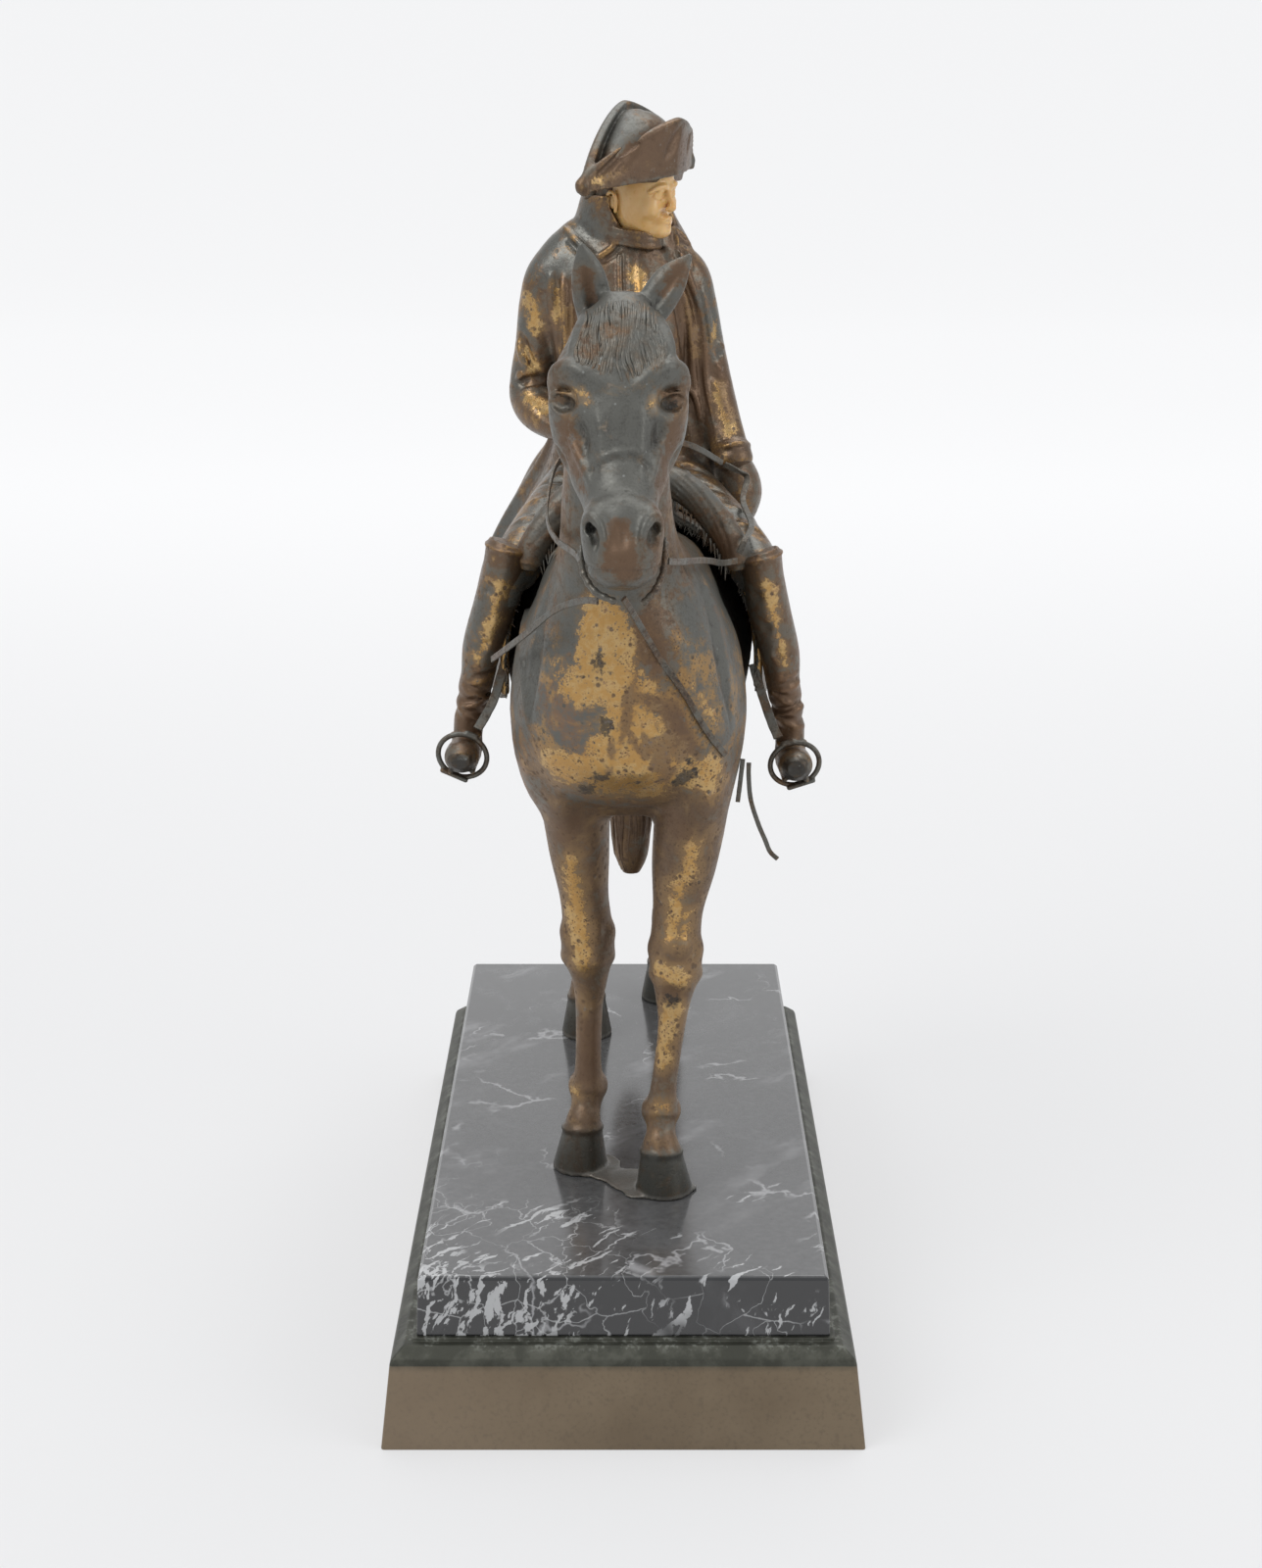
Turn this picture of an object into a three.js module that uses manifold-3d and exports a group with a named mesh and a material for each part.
// An equestrian statuette: a rider in a greatcoat and a two-pointed hat on a standing horse, cast in metal,
// with a face of ivory-coloured material let in, on a black marble slab over a metal plinth. Millimetres, +Z
// up, and the horse faces -Y. The origin is the centre of the plinth's underside.

import * as THREE from "three";
import { mergeVertices } from "three/addons/utils/BufferGeometryUtils.js";
import Module from "manifold-3d";

const wasm = await Module();
wasm.setup();

// Driving dimensions
const PLINTH_LENGTH = 258;
const PLINTH_WIDTH = 120;
const BAND_HEIGHT = 22; // the plain leaning band round the plinth
const BAND_LEAN = 2.4; // how far the band leans in from foot to top
const MOULDING_RISE = 3.6; // the sloped moulding above the band
const SLAB_LENGTH = 240;
const SLAB_WIDTH = 102.6;
const SLAB_THICKNESS = 15.8;
const SLAB_LEAN = 0.5; // the slab's sides lean in a little
const SLAB_BEVEL = 0.9; // the polished bevel along its top edges
const LEDGE_RISE = 0.8; // the low step that the slab sits on
const LEDGE_WIDTH = 1.2; // what shows of that step round the slab
const GROUP_HEIGHT = 281; // horse, rider and hat above the slab
const CLEARANCE = 0.35; // between pieces that are fitted together
const CLOTH_STAND_OFF = 3.4; // the saddle cloth stands this far off the horse's sides
const CLOTH_THICKNESS = 1.8;
const WIRE = 1.4; // the stirrups' wire
const STIRRUP_WIDTH = 14.4;
const STIRRUP_HEIGHT = 12.6;
const TREAD_LENGTH = 7;
const TREAD_DEPTH = 3;
const TREAD_THICKNESS = 1.1;
const LEATHER_WIDTH = 3.4; // the stirrup leathers
const REIN_WIDTH = 1.6;
const STRAP_THICKNESS = 0.6;
const BIT_BAR = 1.5; // across the bit's bars

const PLINTH_HEIGHT = BAND_HEIGHT + MOULDING_RISE + LEDGE_RISE;
const SLAB_TOP = PLINTH_HEIGHT + SLAB_THICKNESS;

// The tables below are drawn for a group of this height, with z from the slab's top. Each size that stands
// for itself, such as a thickness or a clearance, is added after they are scaled.
const DRAWN_HEIGHT = 281;
const scale = GROUP_HEIGHT / DRAWN_HEIGHT;

const BRONZE = { color: 0x6b5a48, roughness: 0.45, metalness: 0.8 };
const GILT = { color: 0x94702f, roughness: 0.4, metalness: 0.9 };
const PLINTH_METAL = { color: 0x6f5c43, roughness: 0.5, metalness: 0.8 };
const MARBLE = { color: 0x2b2b2f, roughness: 0.2, metalness: 0 };
const IVORY = { color: 0xd8a75a, roughness: 0.35, metalness: 0 };

// A curve through every row of numbers, with `steps` rows from each given row to the next
function smooth(rows, steps) {
  const row = (i) => rows[Math.max(0, Math.min(rows.length - 1, i))];
  const out = [];
  for (let i = 0; i < rows.length - 1; i++) {
    for (let s = 0; s < steps; s++) {
      const t = s / steps;
      const blend = (a, b, c, d) =>
        b + 0.5 * t * (c - a + t * (2 * a - 5 * b + 4 * c - d + t * (3 * (b - c) + d - a)));
      out.push(row(i).map((_, k) => blend(row(i - 1)[k], row(i)[k], row(i + 1)[k], row(i + 2)[k])));
    }
  }
  out.push(rows.at(-1));
  return out;
}

// A closed body from rings of points with the same count, capped at both ends by a fan
function skin(rings) {
  const sides = rings[0].length;
  const middle = (ring) => ring.reduce((sum, p) => sum.add(p), new THREE.Vector3()).divideScalar(sides);
  const points = [...rings.flat(), middle(rings[0]), middle(rings.at(-1))];
  const index = [];
  const last = (rings.length - 1) * sides;
  for (let k = 0; k < sides; k++) {
    const n = (k + 1) % sides;
    for (let i = 0; i < last; i += sides) {
      index.push(i + k, i + n, i + sides + n, i + k, i + sides + n, i + sides + k);
    }
    index.push(points.length - 2, n, k, points.length - 1, last + k, last + n);
  }
  const made = new THREE.BufferGeometry().setFromPoints(points);
  made.setIndex(index);
  return solid(made);
}

// A geometry as a solid. One that is inside out is turned round.
function solid(geometry) {
  const bare = geometry.clone();
  bare.deleteAttribute("normal");
  bare.deleteAttribute("uv");
  const merged = mergeVertices(bare, 1e-5);
  const vertProperties = new Float32Array(merged.attributes.position.array);
  const make = (triVerts) => new wasm.Manifold(new wasm.Mesh({ numProp: 3, vertProperties, triVerts }));
  const faces = new Uint32Array(merged.index.array);
  const made = make(faces);
  return made.volume() > 0 ? made : make(faces.reverse());
}

const union = (parts) => parts.reduce((a, b) => a.add(b));
const cut = (whole, tools) => tools.reduce((a, b) => a.subtract(b), whole);
const place = (p) => new THREE.Vector3(...p.slice(0, 3)).multiplyScalar(scale);

// The point before and after each point of a chain give its direction there.
function directions(chain) {
  return chain.map((_, i) =>
    chain[Math.min(i + 1, chain.length - 1)].clone().sub(chain[Math.max(i - 1, 0)]).normalize(),
  );
}

// A unit vector as near to `across` as is square to `along`
const squared = (across, along) => {
  const side = new THREE.Vector3(...across);
  return side.addScaledVector(along, -side.dot(along)).normalize();
};

// A limb or body along a chain of oval rings. Each row is [x, y, z, half width, half depth, egg, fold]: the
// width lies along `across`, egg widens one side of the depth and narrows the other, and fold is the depth
// of `folds` pleats round the ring. grow = [width, depth] adds to the half sizes, and its width to both
// ends.
function limb(rows, { sides = 12, steps = 1, across = [1, 0, 0], grow = [0, 0], square = 2, folds = 0 } = {}) {
  const chain = smooth(rows.map((r) => [...r, 0, 0].slice(0, 7)), steps);
  const middles = chain.map(place);
  const along = directions(middles);
  middles[0].addScaledVector(along[0], -grow[0]);
  middles.at(-1).addScaledVector(along.at(-1), grow[0]);
  const bulge = (v) => Math.sign(v) * Math.abs(v) ** (2 / square);
  const rings = chain.map(([, , , width, depth, egg, fold], i) => {
    const side = squared(across, along[i]);
    const deep = new THREE.Vector3().crossVectors(along[i], side);
    const ring = [];
    for (let k = 0; k < sides; k++) {
      const angle = (2 * Math.PI * (k + 0.5)) / sides;
      const swell = 1 + fold * Math.cos(folds * angle);
      const c = bulge(Math.cos(angle)) * swell;
      const s = bulge(Math.sin(angle)) * swell;
      const out = (width * scale + grow[0]) * c * (1 + egg * s);
      const forth = (depth * scale + grow[1]) * s;
      ring.push(middles[i].clone().addScaledVector(side, out).addScaledVector(deep, forth));
    }
    return ring;
  });
  return skin(rings);
}

// The same rows for the other side of the body, shifted sideways
const mirror = (rows, shift = 0) => rows.map(([x, ...rest]) => [shift - x, ...rest]);

// A flat strip through points, with its width along `across`
function strip(points, width, { thickness = STRAP_THICKNESS, across = [0, 0, 1], steps = 2 } = {}) {
  const chain = smooth(points, steps).map(place);
  const along = directions(chain);
  const rings = chain.map((p, i) => {
    const side = squared(across, along[i]);
    const deep = new THREE.Vector3().crossVectors(along[i], side);
    const corner = (a, b) =>
      p.clone().addScaledVector(side, (a * width) / 2).addScaledVector(deep, (b * thickness) / 2);
    return [corner(1, 1), corner(-1, 1), corner(-1, -1), corner(1, -1)];
  });
  return skin(rings);
}

// A block with four mitred corners through levels of [z, width, length]
function stepped(levels) {
  const corners = [[1, 1], [-1, 1], [-1, -1], [1, -1]];
  return skin(
    levels.map(([z, width, length]) =>
      corners.map(([a, b]) => new THREE.Vector3((a * width) / 2, (b * length) / 2, z)),
    ),
  );
}

function oval(centre, radii, detail = 1) {
  const ball = new THREE.IcosahedronGeometry(1, detail);
  ball.scale(...radii).translate(...centre).scale(scale, scale, scale);
  return solid(ball);
}

// An outline of [x, z] points carried along Y from y0 to y1
function prism(outline, y0, y1) {
  const shape = new THREE.Shape(outline.map(([x, z]) => new THREE.Vector2(x, z)));
  const block = new THREE.ExtrudeGeometry(shape, { depth: y1 - y0, bevelEnabled: false });
  block.rotateX(Math.PI / 2).translate(0, y1, 0).scale(scale, scale, scale);
  return solid(block);
}

// The plinth: one casting with a leaning band, a sloped moulding and a low step for the slab
function plinth() {
  const step = [SLAB_WIDTH + 2 * LEDGE_WIDTH, SLAB_LENGTH + 2 * LEDGE_WIDTH];
  const run = (PLINTH_WIDTH - step[0]) / 2 - BAND_LEAN;
  const slope = 0.62 * run; // the moulding slopes this far in, and a flat ledge is left inside it
  const inset = (d) => [PLINTH_WIDTH - 2 * d, PLINTH_LENGTH - 2 * d];
  return stepped([
    [0, ...inset(0)],
    [BAND_HEIGHT, ...inset(BAND_LEAN)],
    [BAND_HEIGHT + MOULDING_RISE, ...inset(BAND_LEAN + slope)],
    [BAND_HEIGHT + MOULDING_RISE, ...step],
    [PLINTH_HEIGHT, ...step],
  ]);
}

// The marble slab, standing on the plinth
function slab() {
  const level = (z, d) => [z, SLAB_WIDTH - 2 * d, SLAB_LENGTH - 2 * d];
  return stepped([
    level(PLINTH_HEIGHT, 0),
    level(SLAB_TOP - SLAB_BEVEL, SLAB_LEAN),
    level(SLAB_TOP, SLAB_LEAN + SLAB_BEVEL),
  ]);
}

// The horse, from breast to buttocks
const TRUNK_X = 1.2;
const TRUNK = [
  [-90.5, 128.5, 7, 7, 0],
  [-88.5, 129, 15, 14, 0.05],
  [-83, 131, 22, 25, 0.14],
  [-74, 134.5, 26.3, 33, 0.2],
  [-60, 137.5, 27.3, 37, 0.22],
  [-42, 138.2, 28, 37.4, 0.2],
  [-22, 137, 30.5, 35.6, 0.14],
  [0, 136, 33.5, 34, 0.05],
  [20, 138, 33.5, 33, 0],
  [40, 142, 32, 31.5, -0.05],
  [58, 147, 31.5, 28, -0.05],
  [74, 147, 28, 24, 0],
  [86, 146, 19, 17, 0],
  [92, 145, 8, 8, 0],
].map(([y, ...rest]) => [TRUNK_X, y, ...rest]);
const TRUNK_SQUARE = 2.25;

const NECK = [
  [1, -57, 142, 25, 27, -0.15],
  [1, -62, 154, 23, 26.5, -0.15],
  [0.9, -67, 165, 18.5, 25, -0.2],
  [0.6, -72, 176, 15, 22, -0.25],
  [0.3, -78.5, 191, 13.2, 18, -0.25],
  [0, -84, 206, 11.6, 14.6, -0.25],
  [-0.4, -88, 221, 10, 12, -0.25],
  [-0.5, -89.6, 231, 8, 9, -0.2],
  [-0.6, -90.5, 236.5, 4, 4.5, 0],
];

const HEAD = [
  [-0.6, -90, 236, 5.5, 5.5, 0],
  [-0.8, -92, 229, 10.5, 11.5, 0.05],
  [-1, -94, 220.5, 13.6, 14, 0.12],
  [-1.1, -96.5, 212, 14.6, 15.3, 0.15],
  [-1, -100.3, 203.5, 13.6, 14.6, 0],
  [-0.8, -105, 197, 11.6, 12.2, -0.05],
  [-0.5, -110.5, 191.5, 9, 9.6, -0.05],
  [-0.2, -115.6, 186, 8.4, 8.6, 0],
  [0, -119, 180.3, 9, 8.8, 0],
  [0, -120.8, 175.8, 7.6, 7.2, 0],
  [0, -121.8, 172.8, 3.6, 4, 0],
];
const HEAD_X = -1;
const NOSEBAND = [
  [-0.6, -109.4, 192.7, 10.1, 10.7],
  [-0.5, -111.2, 190.8, 9.6, 10.1],
];

const RIGHT_EAR = [
  [-6.6, -89, 230, 3.6, 3, 0],
  [-7.3, -90.5, 236, 4.5, 2.8, 0],
  [-8.3, -92.5, 242.5, 3.7, 2.1, 0],
  [-9.8, -94.5, 249, 0.5, 0.5, 0],
];
const LEFT_EAR = [
  [5.4, -89, 230.5, 3.6, 3, 0],
  [8.6, -89.3, 236, 4.4, 2.8, 0],
  [12, -89, 241, 3.6, 2.1, 0],
  [16, -88.5, 245.8, 0.5, 0.5, 0],
];

// Legs run from inside the trunk to just past the sole, where they are cut level.
const RIGHT_FORELEG = [
  [-13, -57, 158, 6, 12],
  [-15.5, -62, 138, 8.5, 16],
  [-15.2, -60, 119, 9.2, 15],
  [-12.8, -55, 104, 8.9, 12.5],
  [-11.6, -53, 90, 7.9, 9.8],
  [-10.5, -52, 78, 6.5, 7.4],
  [-9.7, -51.5, 69.5, 6.6, 6.6],
  [-9.5, -51.5, 62, 7.1, 6.8],
  [-9.1, -50.5, 54.5, 5, 5.3],
  [-9.3, -49.5, 46, 3.8, 4.6],
  [-9.6, -49, 30, 3.6, 4.6],
  [-9.7, -49, 22.5, 4.7, 5.7],
  [-10.3, -51, 17.5, 4, 4.5],
  [-11, -52.5, 12.8, 5, 5.6],
  [-11.9, -50.5, -1, 7.7, 8.5],
];
const LEFT_FORELEG = [
  [15, -60, 158, 6, 12],
  [18, -68, 138, 8.5, 16],
  [19, -67, 119, 9.2, 15],
  [17.4, -64, 104, 9.3, 12.5],
  [15.6, -64, 90, 8.4, 9.8],
  [14.1, -64.5, 78, 6.6, 7.4],
  [13.5, -65.5, 69.5, 6.6, 6.6],
  [13.5, -66, 62, 6.8, 6.8],
  [13, -66, 54.5, 4.9, 5.3],
  [12.5, -65.8, 46, 3.7, 4.6],
  [10.6, -65.5, 30, 3.5, 4.6],
  [9.9, -65.5, 22, 4.6, 5.7],
  [9.8, -67.5, 17.5, 3.8, 4.5],
  [9.8, -69, 12.5, 5.3, 5.6],
  [10.8, -66.5, -1, 7.7, 8.5],
];
const RIGHT_HIND_LEG = [
  [-14, 62, 165, 9, 16],
  [-20, 62, 145, 11.5, 21],
  [-21, 56, 128, 11.5, 20],
  [-18, 58, 112, 8.8, 14.5],
  [-15, 64, 97, 6.6, 9.6],
  [-13.5, 69.5, 84, 5, 7],
  [-12.8, 71.5, 74, 5.2, 7.4],
  [-12.6, 68.5, 64, 4.8, 6.2],
  [-12.4, 64.5, 52, 4, 5],
  [-12.2, 60, 38, 3.8, 4.8],
  [-12, 56.5, 26, 4.8, 5.8],
  [-11.9, 53.5, 20, 4.2, 4.7],
  [-11.8, 50.8, 14, 5.4, 5.8],
  [-11.8, 53, -1, 8, 8.7],
];
const LEFT_HIND_LEG = [
  [16, 62, 165, 9, 16],
  [22, 63, 145, 11.5, 21],
  [23, 60, 128, 11.5, 20],
  [20, 66, 112, 8.8, 14.5],
  [17, 76, 97, 6.6, 9.6],
  [15, 85, 84, 5, 7],
  [14.5, 90, 74, 5.2, 7.4],
  [14, 90.5, 64, 4.8, 6.2],
  [13.8, 89.5, 52, 4, 5],
  [13.5, 88.5, 38, 3.8, 4.8],
  [13.3, 88, 26, 4.8, 5.8],
  [13.2, 85.8, 20, 4.2, 4.7],
  [13, 83.5, 14, 5.4, 5.8],
  [13, 86, -1, 8, 8.7],
];

const TAIL = [
  [1.4, 82, 160, 6, 5],
  [1.5, 93, 158.5, 5.5, 5.5],
  [1.6, 100, 147, 6.5, 6.5],
  [1.8, 101.5, 122, 7.6, 7],
  [2, 100.5, 92, 7.6, 6.8],
  [2, 98.5, 64, 6.8, 6],
  [2, 97.5, 46, 5.6, 5],
  [2, 97, 38.5, 2.6, 2.6],
];
const FORELOCK = [
  [-0.6, -88, 240, 4, 2.5],
  [-0.7, -95, 239, 6, 2.6],
  [-0.9, -102, 233, 8, 2.6],
  [-1, -107, 225, 7, 2.2],
  [-1.2, -110.5, 216.5, 2.5, 1],
];
const CREST = [
  [-0.4, -84, 236, 2.6, 4],
  [-0.2, -75, 224, 3, 4.5],
  [0.2, -66, 208, 3.4, 4.6],
  [0.6, -54, 191, 3.2, 4.2],
  [0.9, -45.5, 181, 2, 2.4],
];
// The mane lies over the neck's right side in lobes.
const MANE = [
  [-4.6, -89, 233, 3, 3],
  [-7.6, -87.5, 226, 3, 7],
  [-9.4, -84, 218, 2.6, 6],
  [-9.8, -81.5, 211, 3, 8.5],
  [-10.8, -77, 202, 2.6, 7],
  [-11.2, -73.5, 195, 3, 9],
  [-11.4, -67, 186, 2.6, 6.5],
  [-10, -60, 180, 2.6, 5],
  [-7, -52, 176, 1.6, 2],
];

// A low pad of metal that joins the fore hooves on the slab
const PADS = [
  [[-9, -50, -1, 9, 8], [-9, -50, 0.7, 8, 7]],
  [[5, -62, -1, 10, 9], [5, -62, 0.7, 9, 8]],
];

const trunk = (grow) => limb(TRUNK, { sides: 16, grow, square: TRUNK_SQUARE });
const neck = (grow) => limb(NECK, { sides: 12, grow });
const crest = (grow) => limb(CREST, { sides: 6, grow });

const hindLegs = (grow) => [RIGHT_HIND_LEG, LEFT_HIND_LEG].map((leg) => limb(leg, { sides: 8, grow }));

const bothSides = (make) => [1, -1].map(make);

function horse() {
  const whole = union([
    trunk(),
    neck(),
    limb(HEAD, { sides: 12 }),
    limb(NOSEBAND, { sides: 12 }),
    ...bothSides((side) => oval([HEAD_X + side * 9.6, -102.6, 219], [6.4, 7, 4.2])),
    ...bothSides((side) => oval([HEAD_X + side * 12.6, -105.2, 213.4], [2.4, 2.6, 2], 0)),
    limb(RIGHT_EAR, { sides: 6 }),
    limb(LEFT_EAR, { sides: 6, across: [1, 0, -0.6] }),
    ...[RIGHT_FORELEG, LEFT_FORELEG].map((leg) => limb(leg, { sides: 8 })),
    ...hindLegs(),
    limb(TAIL, { sides: 7 }),
    limb(FORELOCK, { sides: 6 }),
    crest(),
    limb(MANE, { sides: 6 }),
    ...PADS.map((pad) => limb(pad, { sides: 7 })),
  ]);
  const nostrils = bothSides((side) => oval([side * 6.8, -125.5, 182.5], [2, 2.2, 2.4], 0));
  const reach = PLINTH_LENGTH;
  const below = prism([[-reach, -20], [reach, -20], [reach, 0], [-reach, 0]], -reach, reach);
  return cut(whole, [...nostrils, below]);
}

// The saddle cloth: a shell bent over the horse's back, with a border, and two holster rolls over the front.
// Each row is [y, x, z, half width, height, right drop, left drop] of its inner face, before the stand-off.
const CLOTH = [
  [-39, 2, 138.2, 29, 36.5, 9, 7],
  [-31, 2, 138, 29.8, 36.3, 12, 10],
  [-14, 1.8, 137, 32, 35.4, 14, 13],
  [6, 1.6, 136.5, 33.6, 34.2, 15, 14],
  [25, 1.4, 139, 33.4, 32.8, 15, 15],
  [40, 1.2, 142.4, 31.8, 31.8, 14, 14],
];
const CLOTH_ARC = 10; // chords round the back
const BORDER = 0.8; // the cloth's front and back edges are this much thicker
const PAST = 3; // cutting shapes run this far past what they cut
const TOP_STAND_OFF = 2.2; // on the back itself the cloth lies closer

// The bridge over the back, `out` from the inner face, with its sides `longer` at the foot
function clothBridge(out, longer = 0) {
  return skin(
    CLOTH.map(([y, x, z, half, rise, rightDrop, leftDrop], i) => {
      const edge = i === 0 ? -1 : i === CLOTH.length - 1 ? 1 : 0;
      const off = out + Math.abs(edge) * (out > 0 ? BORDER : 0);
      const a = half * scale + CLOTH_STAND_OFF + off;
      const b = rise * scale + TOP_STAND_OFF + off;
      const at = (px, pz) => new THREE.Vector3(x * scale + px, y * scale + edge * longer, z * scale + pz);
      const points = [at(a, -leftDrop * scale - longer)];
      for (let k = 0; k <= CLOTH_ARC; k++) {
        const angle = (Math.PI * k) / CLOTH_ARC;
        points.push(at(a * Math.cos(angle), b * Math.sin(angle)));
      }
      return [...points, at(-a, -rightDrop * scale - longer)];
    }),
  );
}

const HOLSTER = [
  [8, -39, 186, 2.6, 2.6],
  [12, -40, 185.5, 4, 4],
  [19, -42, 181, 4.2, 4.2],
  [26, -43.5, 172.5, 4.2, 4.2],
  [29, -43.5, 166.5, 4, 4],
  [29.6, -43.5, 163, 2.2, 2.2],
];
const HOLSTER_SHIFT = 4.8;
const POMMEL = [
  [2, -35, 172, 12, 7],
  [2, -36, 180, 12, 5.5],
  [2, -36, 187, 8, 4],
  [2, -36, 190, 4, 2.4],
];

const pommel = (grow) => limb(POMMEL, { sides: 8, grow });
const holsters = (grow) =>
  [HOLSTER, mirror(HOLSTER, HOLSTER_SHIFT)].map((rows) => limb(rows, { sides: 7, across: [0, 1, 0], grow }));
const ROOM = [CLEARANCE, CLEARANCE];

function saddleCloth() {
  const shell = clothBridge(CLOTH_THICKNESS).subtract(clothBridge(0, PAST));
  return cut(union([shell, pommel(), ...holsters()]), [trunk(ROOM), neck(ROOM), crest(ROOM)]);
}

// All that the rider sits on, with room round it
const seat = () =>
  union([
    clothBridge(CLOTH_THICKNESS + CLEARANCE, CLEARANCE),
    pommel(ROOM),
    trunk(ROOM),
    ...holsters(ROOM),
    ...hindLegs(ROOM),
  ]);

// The rider
const TORSO = [
  [1, 4, 168, 15, 12],
  [1, 3, 178, 17, 13],
  [1, 0, 190, 15.5, 12],
  [1.5, -2, 200, 15, 11.6],
  [0, -3, 214, 16.5, 12],
  [-1, -3, 226, 18, 11.4],
  [-1, -2, 236, 17, 9.6],
  [0, -1.5, 243, 12.5, 8],
  [1, -1.5, 248, 7.6, 7],
  [2, -3, 255, 6.4, 6.6],
];
const COAT = [
  [3.6, 4.5, 180, 24, 15.5],
  [3, 2.6, 190, 21.5, 14.2],
  [2.4, 0.4, 200, 19, 13.4],
  [0, -1, 214, 18.6, 13.4],
  [-1.4, -1, 226, 20.4, 12.8],
  [-2, 0, 237, 21.4, 10.6],
  [-1.2, 1, 243.5, 16.6, 9],
  [0.4, 1, 249, 9, 8],
];
const COAT_OPENING = [[-2, 262], [-2.6, 238], [-6, 205], [-10, 170], [30, 170], [25.5, 186], [20, 209],
  [16.5, 229], [13.7, 240], [12, 262]];
const COLLAR = [
  [0.4, 3.5, 241.5, 18, 13],
  [0.2, 2.6, 245.5, 16, 12.4],
  [0, 1.2, 250, 13.6, 11.4],
  [-0.4, -0.2, 255, 11.4, 10.4],
  [-0.4, -0.8, 258, 9.8, 9.6],
];
const COLLAR_OPENING = [[-6.7, 236], [-6.7, 239.8], [-0.5, 243.7], [-1.3, 248.7], [-3.6, 253], [-3.6, 264],
  [24, 264], [24, 250], [10, 247.5], [9.5, 243.5], [15, 239], [15, 236]];

const RIGHT_ARM = [
  [-15, 0, 240, 5, 6.5],
  [-19.4, 0.5, 235, 6.6, 7.2],
  [-21.6, 1, 227, 6.6, 6.8],
  [-23.4, 2.5, 216, 6, 6.4],
  [-24.8, 4, 208, 6, 6.4],
  [-25, 3, 202, 6, 6],
  [-22, -4, 198.5, 5.6, 5.6],
  [-15, -12, 196.5, 5, 5],
  [-8.5, -15.5, 196.5, 4.6, 4.6],
  [-8, -15.8, 196.5, 3.2, 3.2],
  [-2, -15, 197, 2.6, 2.8],
];
const LEFT_ARM = [
  [11, 0, 241, 5, 6],
  [16, 0, 235, 6.6, 7],
  [18.6, 0.5, 227, 6.4, 6.6],
  [21.2, 1.6, 216, 5.9, 6.2],
  [23.6, 1.5, 206, 5.7, 6],
  [26.4, -2.5, 196, 5.3, 5.4],
  [29, -6.8, 188, 4.9, 4.8],
  [29.6, -8, 185.8, 4.6, 4.4],
];
const LEFT_HAND = [
  [29.4, -7, 188, 2.6, 2.6],
  [30.4, -10.5, 184, 3.2, 3.4],
  [31.2, -13, 181.4, 3.4, 3.2],
  [31.6, -14.4, 179.4, 1.8, 1.8],
];

// A pouch of the coat's tail that stands out behind the left hand
const LEFT_TAIL = [
  [24, 4, 190, 4, 5],
  [29, 3, 183, 6, 7],
  [31.5, 3, 176, 6.4, 8],
  [31, 4, 168, 4, 6],
];

const LEFT_THIGH = [
  [9, 3, 180, 9.5, 10.5],
  [16, -6, 176.5, 9.6, 9.8],
  [22.5, -16, 171.5, 9.2, 9.2],
  [28.6, -26, 166.6, 8.6, 8.6],
  [33.2, -35, 162.6, 7.4, 7.9],
  [36.2, -40.8, 158.5, 5, 6.4],
  [37, -41, 153, 4, 5.4],
];
const RIGHT_THIGH = [
  [-7, 3, 181, 9.5, 10.5],
  [-12, -6, 178, 9.6, 9.8],
  [-17, -16, 173.4, 9.2, 9.2],
  [-22, -26, 168.4, 8.6, 8.6],
  [-26.6, -35, 163.8, 7.4, 7.9],
  [-30, -40.8, 159.6, 5, 6.4],
  [-31.4, -41, 154, 4, 5.4],
];

// Boot rows, with the wrinkles at the ankle
const LEFT_BOOT = [
  [35.2, -41.4, 167.4, 4.6, 6.4],
  [35.4, -41.4, 166.4, 5.5, 7.8],
  [36.2, -41.2, 161, 5.4, 7.6],
  [38.2, -40, 151, 5.5, 7.4],
  [41, -38, 140, 5.2, 7],
  [42, -36.5, 132, 4.5, 6.2],
  [42.8, -35.4, 127.6, 4.4, 5.8],
  [43.1, -35, 125.6, 3.9, 5.1],
  [43.4, -34.8, 123.4, 4.3, 5.4],
  [43.7, -34.5, 121.2, 3.7, 4.8],
  [44.1, -34.2, 118.6, 4, 5.1],
  [44.5, -34.1, 109, 3.5, 4.8],
];
const LEFT_FOOT = [
  [44.2, -28.6, 110.4, 2.4, 2.4],
  [44.3, -30.5, 110.6, 3.4, 3.2],
  [44.6, -37.5, 111.6, 4, 3.8],
  [44.9, -45, 112, 4.5, 4.1],
  [45, -50, 112, 4.3, 3.9],
  [45, -53, 112, 2.4, 2.2],
];
// The right boot's middle against the left one's, at the ankle and for each millimetre above it
const BOOT_SHIFT = 3;
const BOOT_LEAN = 0.05;
const ANKLE = 121;
const RIGHT_LIFT = 2.2; // the right boot is this much higher

const SKIRT = [
  [-0.5, 0, 203, 15.5, 11.5, 0, 0],
  [0.4, 3, 194, 18.8, 15, 0, 0.01],
  [0.8, 9, 183, 23.5, 21, 0, 0.015],
  [0.8, 16, 171, 30, 30, 0, 0.02],
  [1, 21, 157, 37.6, 35, 0, 0.025],
  [1.2, 22.5, 144, 42.2, 37, 0, 0.025],
  [1.4, 23, 131, 45.2, 38, 0, 0.03],
];
const SKIRT_FOLDS = 9;
const SKIRT_SQUARE = 2.5;

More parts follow.
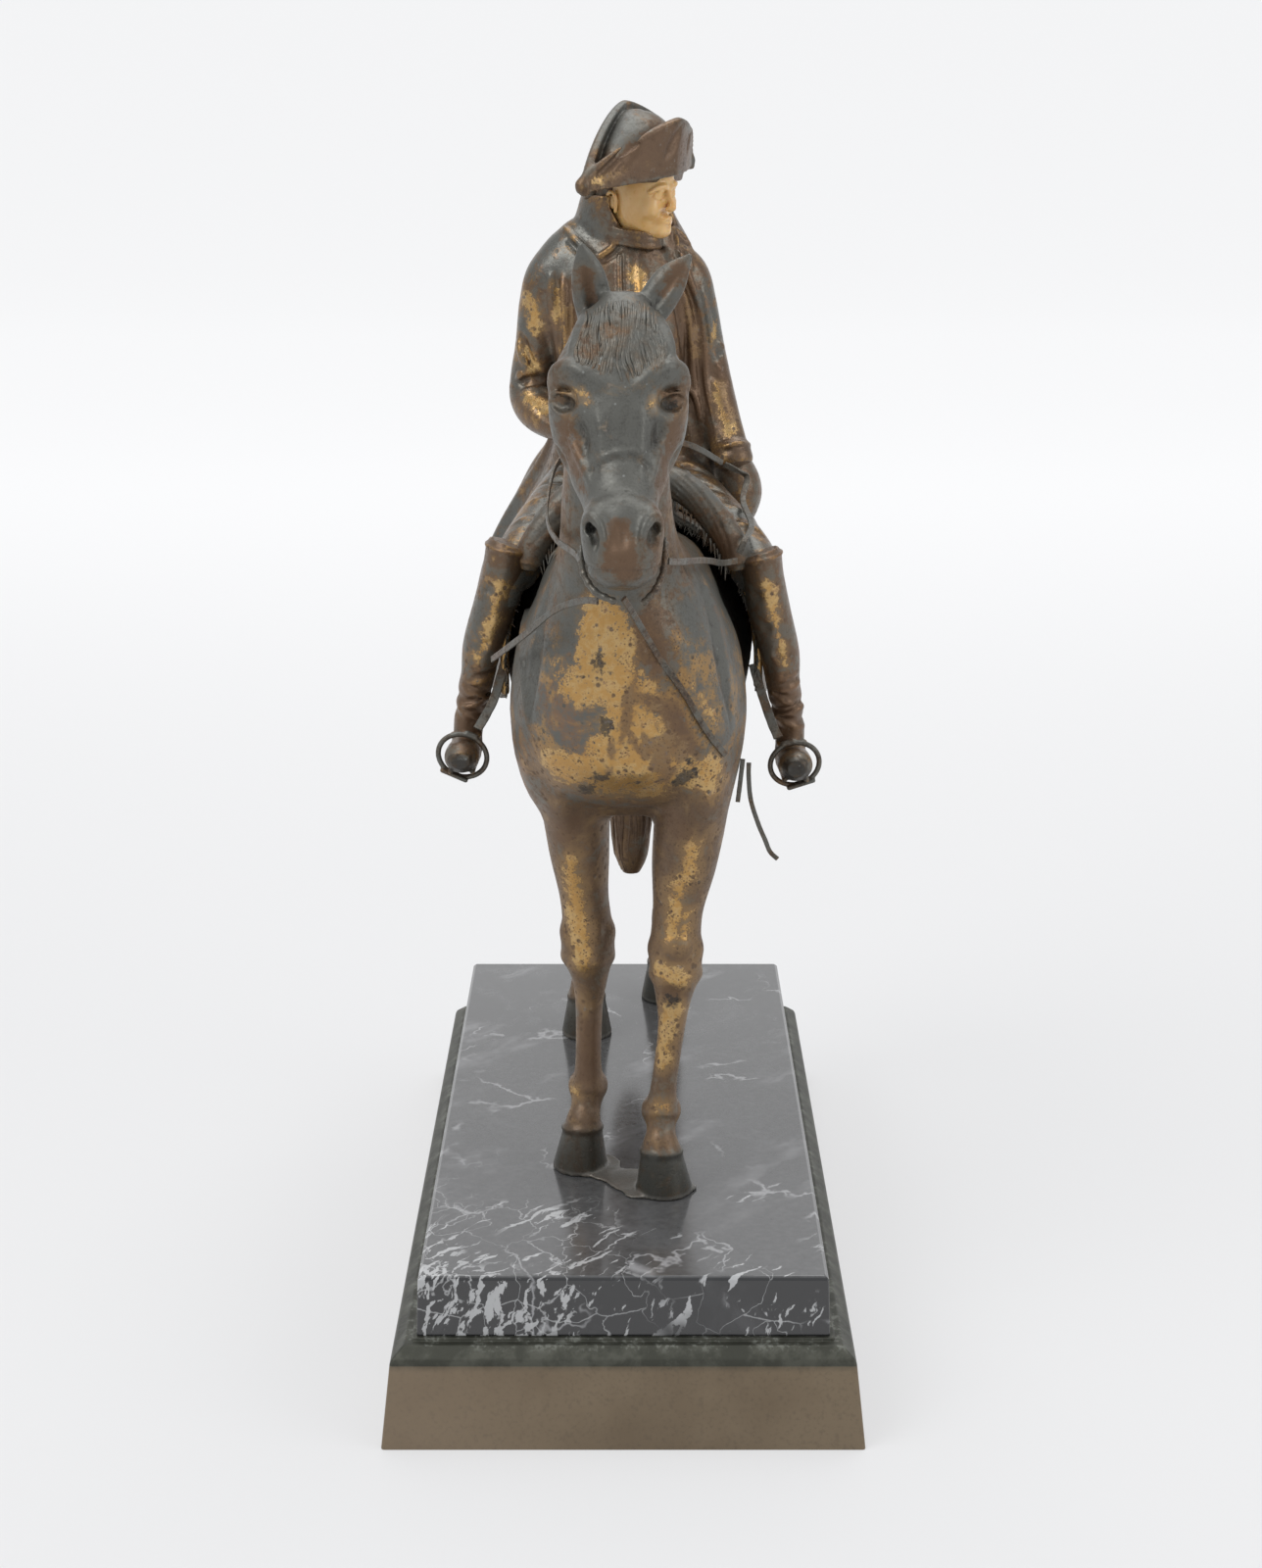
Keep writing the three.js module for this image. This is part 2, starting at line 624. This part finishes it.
// The head looks to the rider's left. Head rows are [forward, left, up, half width, half depth] about its
// centre.
const HEAD_TURN = THREE.MathUtils.degToRad(57);
const HEAD_TILT = Math.tan(THREE.MathUtils.degToRad(6)); // the left side of the hat is the higher one
const HEAD_CENTRE = [3.6, -4.5, 256];
const HAIR = [
  [-6.4, 0, -9, 3.6, 2.6],
  [-6.4, 0, -5, 5.6, 4.4],
  [-6, 0, 0, 6.8, 5.4],
  [-4.6, 0, 5, 7.4, 6.6],
  [-1, 0, 9, 6, 7],
];
const FACE = [
  [5.6, 0, -10.6, 2.6, 2.4],
  [4.6, 0, -9.6, 4.2, 4.2],
  [2.4, 0, -6.6, 6, 7.2],
  [1, 0, -2.6, 7, 9],
  [0.7, 0, 1.4, 7.4, 9.4],
  [0.6, 0, 5.4, 7.4, 9.8],
];
const NOSE = [
  [9.4, 0, 2.4, 0.8, 0.9],
  [10.3, 0, 0, 1, 1.2],
  [11.2, 0, -2.6, 1.5, 1.5],
  [9.8, 0, -3.8, 1.2, 0.9],
];
const FACE_RELIEF = [
  [[9, 0, 2.2], [1.8, 5.6, 1.2]],
  [[8.6, 0, -5.9], [1.8, 2.8, 1.2]],
  [[7.8, 0, -9], [2, 2.8, 1.8]],
  [[-3, -7.2, -0.6], [1.8, 1, 2.6]],
  [[-3, 7.2, -0.6], [1.8, 1, 2.6]],
];

function headPoint([forward, left, up]) {
  const sin = Math.sin(HEAD_TURN);
  const cos = Math.cos(HEAD_TURN);
  const [x, y, z] = HEAD_CENTRE;
  return [x + forward * sin + left * cos, y - forward * cos + left * sin, z + up + left * HEAD_TILT];
}

const HEAD_LEFT = [Math.cos(HEAD_TURN), Math.sin(HEAD_TURN), HEAD_TILT];
const headLimb = (rows, options = {}) =>
  limb(rows.map((r) => [...headPoint(r), ...r.slice(3)]), { across: HEAD_LEFT, ...options });

// A ball in the head's own directions: its radii run forward, left and up.
function headOval([centre, radii], grow) {
  const ball = new THREE.IcosahedronGeometry(1, 0);
  ball.scale(...radii.map((r) => r + grow / scale)).rotateZ(HEAD_TURN - Math.PI / 2);
  ball.translate(...headPoint(centre)).scale(scale, scale, scale);
  return solid(ball);
}

// One flap of the hat's brim, a curved sheet from point to point. way is 1 in front and -1 behind.
const HAT_HALF_LENGTH = 26;
const BRIM_THICKNESS = 1.7;
function brim(way, { low, high, reachLow, reachHigh, steps = 8 }) {
  const rings = [];
  for (let i = 0; i <= steps; i++) {
    const s = (2 * i) / steps - 1;
    const arch = 1 - Math.abs(s) ** 1.4;
    const foot = low - 1 + arch;
    const top = foot + 2.4 + (high - low - 2.4) * arch ** 0.75;
    const ring = [];
    for (const [inside, rises] of [[0, [0, 0.5, 1]], [1, [1, 0.5, 0]]]) {
      for (const rise of rises) {
        const out = 0.6 + (reachLow + (reachHigh - reachLow) * rise) * arch - inside * BRIM_THICKNESS;
        ring.push(place(headPoint([way * out, HAT_HALF_LENGTH * s, foot + (top - foot) * rise])));
      }
    }
    rings.push(ring);
  }
  return skin(rings);
}

const CROWN = [
  [1, 0, 3.6, 16, 8],
  [1, 0, 8, 16.5, 9],
  [0.8, 0, 13, 14, 8.5],
  [0, 0, 17, 10, 7],
  [-1, 0, 20.5, 5.5, 4],
  [-1.2, 0, 22, 2, 1.6],
];

const hat = () =>
  union([
    headLimb(CROWN, { sides: 10 }),
    brim(1, { low: 5.6, high: 19.5, reachLow: 12.6, reachHigh: 14.6 }),
    brim(-1, { low: 4.4, high: 24.4, reachLow: 9.6, reachHigh: 4.6 }),
  ]);

const faceShape = (grow) =>
  union([
    headLimb(FACE, { sides: 12, grow: [grow, grow] }),
    headLimb(NOSE, { sides: 6, grow: [grow, grow] }),
    ...FACE_RELIEF.map((lump) => headOval(lump, grow)),
  ]);

function rider() {
  const toRight = (rows) =>
    rows.map(([x, y, z, ...r]) => [BOOT_SHIFT + BOOT_LEAN * (z - ANKLE) - x, y, z + RIGHT_LIFT, ...r]);
  const coat = limb(COAT, { sides: 12 }).subtract(prism(COAT_OPENING, -30, -4));
  const collar = limb(COLLAR, { sides: 12 }).subtract(prism(COLLAR_OPENING, -30, -1));
  const body = union([
    limb(SKIRT, { sides: 27, folds: SKIRT_FOLDS, square: SKIRT_SQUARE }),
    coat,
    collar,
    limb(TORSO, { sides: 8 }),
    limb(RIGHT_ARM, { sides: 8 }),
    limb(LEFT_ARM, { sides: 8 }),
    limb(LEFT_HAND, { sides: 6 }),
    limb(LEFT_TAIL, { sides: 6 }),
    ...[LEFT_THIGH, RIGHT_THIGH].map((rows) => limb(rows, { sides: 8 })),
    ...[LEFT_BOOT, toRight(LEFT_BOOT)].map((rows) => limb(rows, { sides: 8 })),
    ...[LEFT_FOOT, toRight(LEFT_FOOT)].map((rows) => limb(rows, { sides: 8 })),
    headLimb(HAIR, { sides: 8 }),
    hat(),
  ]);
  return cut(body, [seat(), faceShape(CLEARANCE)]);
}

// A stirrup: a wire ring with a flat tread, rolled about its middle
function stirrup(centre, roll) {
  const ring = new THREE.TorusGeometry(1, 0.1, 5, 12);
  const at = ring.attributes.position;
  const p = new THREE.Vector3();
  for (let i = 0; i < at.count; i++) {
    p.fromBufferAttribute(at, i);
    const flat = Math.hypot(p.x, p.y);
    const off = ((flat - 1) / 0.1) * (WIRE / 2);
    const w = (STIRRUP_WIDTH - WIRE) / 2 + off;
    const h = (STIRRUP_HEIGHT - WIRE) / 2 + off;
    at.setXYZ(i, (p.x / flat) * w, (p.z / 0.1) * (WIRE / 2), (p.y / flat) * h);
  }
  const tread = new THREE.BoxGeometry(TREAD_LENGTH, TREAD_DEPTH, TREAD_THICKNESS);
  tread.translate(0, 0, -(STIRRUP_HEIGHT - WIRE) / 2);
  const turn = new THREE.Matrix4().makeRotationY(THREE.MathUtils.degToRad(roll)).setPosition(place(centre));
  return solid(ring.applyMatrix4(turn)).add(solid(tread.applyMatrix4(turn)));
}

// How far forward the horse's skin reaches at an x and z of the tables
const ray = new THREE.Raycaster();
function breastAt(body, [x, z]) {
  ray.set(place([x, -PLINTH_LENGTH, z]), new THREE.Vector3(0, 1, 0));
  return ray.intersectObject(body)[0].point.y / scale;
}

// The reins and straps, thin flat strips of metal, bent and broken
const RIGHT_REIN = [
  [26, -21, 187.5],
  [17, -34, 194],
  [5, -42, 197],
  [-8, -45, 196],
  [-15.9, -49, 192.4],
  [-18.4, -60, 187],
  [-18.6, -76, 181.2],
  [-16, -88, 178.2],
  [-11.5, -102, 177.6],
  [-9.6, -111, 176.4],
];
const LEFT_REIN = [
  [32.4, -17.5, 181.6],
  [31.4, -25, 178.2],
  [33.1, -40, 174.2],
  [31.1, -49.2, 171.8],
  [29.6, -50.2, 168.4],
];
const LEFT_REIN_FRONT = [
  [29, -49.8, 166.4],
  [25, -54, 166.6],
  [21.6, -68, 169.6],
  [17.8, -85, 172.7],
  [13.2, -102, 175.4],
  [10.6, -110, 177],
];
const BROKEN_REIN = [
  [-5.8, -116.4, 168.8],
  [-10, -109, 167.4],
  [-16.4, -98, 163],
  [-23, -86, 155.4],
  [-29.4, -72, 148],
  [-33.6, -58, 142.4],
];
const HANGING_END = [
  [32.2, -60.6, 115.8],
  [32.2, -60.8, 112],
  [32.8, -61.2, 106],
  [34.8, -61, 99.6],
  [36.7, -60.4, 95],
  [38, -60, 91.8],
  [40, -60, 89.8],
];
// The strap down the breast, as [x, z] on the horse's skin after the first two points in the air
const BREAST_STRAP_START = [[0.2, -117.6, 169.6], [2.6, -107, 163.6]];
const BREAST_STRAP = [
  [8.6, 150.5],
  [12.4, 145],
  [15.6, 140],
  [18.2, 135],
  [20.6, 130.6],
  [23, 126.8],
  [25.4, 123],
];
const STRAP_LIFT = 2; // the strap's middle stands this far off the skin
const STRAP_END = [[30.6, -61.5, 117], [30, -61.5, 111], [29.4, -61.5, 105.6]];

// The bit: a bent bar on each side that hangs from the corner of the mouth
const RIGHT_BIT = [[-9.6, -114, 179.5], [-9, -115.5, 175], [-6.4, -118, 171.4], [-2.2, -119.4, 169.4]];
const LEFT_BIT = [[9.8, -113.4, 181.5], [9.4, -115.4, 176], [7.6, -118, 172], [5, -119.4, 169.2]];
const bar = (points) => limb(points.map((p) => [...p, 0, 0]), { sides: 6, grow: [BIT_BAR / 2, BIT_BAR / 2] });

const RIGHT_LEATHER = [[-34.2, -41.4, 128], [-36.2, -44.4, 124.4], [-38.2, -47, 121.4]];
const LEFT_LEATHER = [[36.6, -41.4, 128.6], [38.8, -45, 122.6], [40.4, -47.6, 119.2]];

function breastStrap(body) {
  const onSkin = BREAST_STRAP.map(([x, z]) => [x, breastAt(body, [x, z]) - STRAP_LIFT / scale, z]);
  return strip([...BREAST_STRAP_START, ...onSkin], REIN_WIDTH, { across: [0.7, 0.3, 0.7], steps: 1 });
}

const materials = new Map();
function material(look) {
  if (!materials.has(look)) {
    materials.set(look, new THREE.MeshStandardMaterial(look));
  }
  return materials.get(look);
}

function mesh(name, made, look) {
  const { vertProperties, triVerts, numProp } = made.getMesh();
  const position = [];
  for (let i = 0; i < vertProperties.length; i += numProp) {
    position.push(vertProperties[i], vertProperties[i + 1], vertProperties[i + 2]);
  }
  const geometry = new THREE.BufferGeometry();
  geometry.setAttribute("position", new THREE.Float32BufferAttribute(position, 3));
  geometry.setIndex(Array.from(triVerts));
  geometry.computeVertexNormals();
  const piece = new THREE.Mesh(geometry, material(look));
  piece.name = name;
  return piece;
}

const statuette = new THREE.Group();
statuette.add(mesh("plinth", plinth(), PLINTH_METAL), mesh("marble_slab", slab(), MARBLE));

const figure = new THREE.Group();
figure.position.z = SLAB_TOP;
const body = mesh("horse", horse(), GILT);
figure.add(
  body,
  mesh("saddle_cloth", saddleCloth(), BRONZE),
  mesh("rider", rider(), BRONZE),
  mesh("face", faceShape(0), IVORY),
  mesh("stirrup_left", stirrup([44.9, -46.5, 111.9], -18), BRONZE),
  mesh("stirrup_right", stirrup([-42.3, -46.5, 114.1], 24), BRONZE),
  mesh("stirrup_leather_left", strip(LEFT_LEATHER, LEATHER_WIDTH, { across: [1, 0, 0] }), BRONZE),
  mesh("stirrup_leather_right", strip(RIGHT_LEATHER, LEATHER_WIDTH, { across: [1, 0, 0] }), BRONZE),
  mesh("rein_right", strip(RIGHT_REIN, REIN_WIDTH, { steps: 1 }), BRONZE),
  mesh("rein_left", strip(LEFT_REIN, REIN_WIDTH, { across: [1, 0, 0], steps: 1 }), BRONZE),
  mesh("rein_left_front", strip(LEFT_REIN_FRONT, REIN_WIDTH, { steps: 1 }), BRONZE),
  mesh("rein_broken", strip(BROKEN_REIN, REIN_WIDTH, { steps: 1 }), BRONZE),
  mesh("breast_strap", breastStrap(body), BRONZE),
  mesh("strap_end", strip(STRAP_END, LEATHER_WIDTH / 2, { across: [0, 1, 0] }), BRONZE),
  mesh("hanging_strap", strip(HANGING_END, 0.75 * REIN_WIDTH, { across: [1, 0, 0.3], steps: 1 }), BRONZE),
  mesh("bit_right", bar(RIGHT_BIT), BRONZE),
  mesh("bit_left", bar(LEFT_BIT), BRONZE),
);
statuette.add(figure);

export default statuette;
